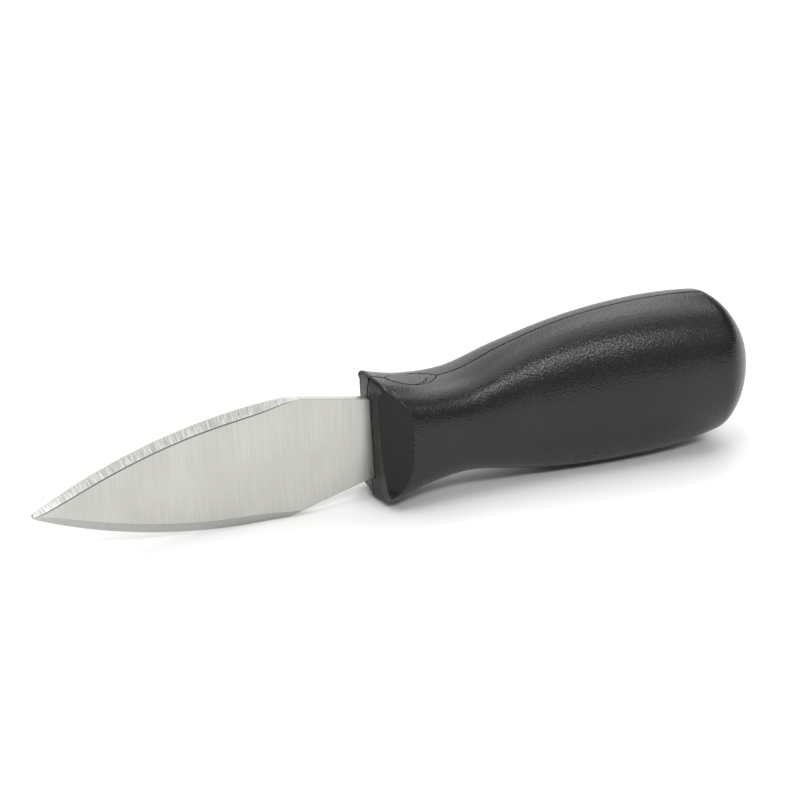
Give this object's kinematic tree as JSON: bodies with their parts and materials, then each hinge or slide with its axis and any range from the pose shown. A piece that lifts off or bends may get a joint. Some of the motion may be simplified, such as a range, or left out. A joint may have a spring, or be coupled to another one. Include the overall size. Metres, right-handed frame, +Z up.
{
  "type": "mussel knife",
  "caption": "Short leaf-shaped double-edged knife for opening mussels, with a stout swelling black handle moulded in two halves round the tang.",
  "frame": {"origin": "centre of the bounding box's footprint, at the ground under the knife standing on its edge", "axes": "+X along the knife from tip to butt, +Y across the blade's thickness, +Z up in the plane of the blade"},
  "size_m": [0.1626, 0.0258, 0.035],
  "materials": {
    "stainless_blade": "flat faces finely brushed across the blade, bevels coarsely ground",
    "black_polypropylene": "moulded, satin, fine stipple"
  },
  "bodies": {
    "root": {"blade": "stainless_blade", "handle_half_left": "black_polypropylene", "handle_half_right": "black_polypropylene", "neck_inlay": "black_polypropylene"}
  },
  "joints": []
}
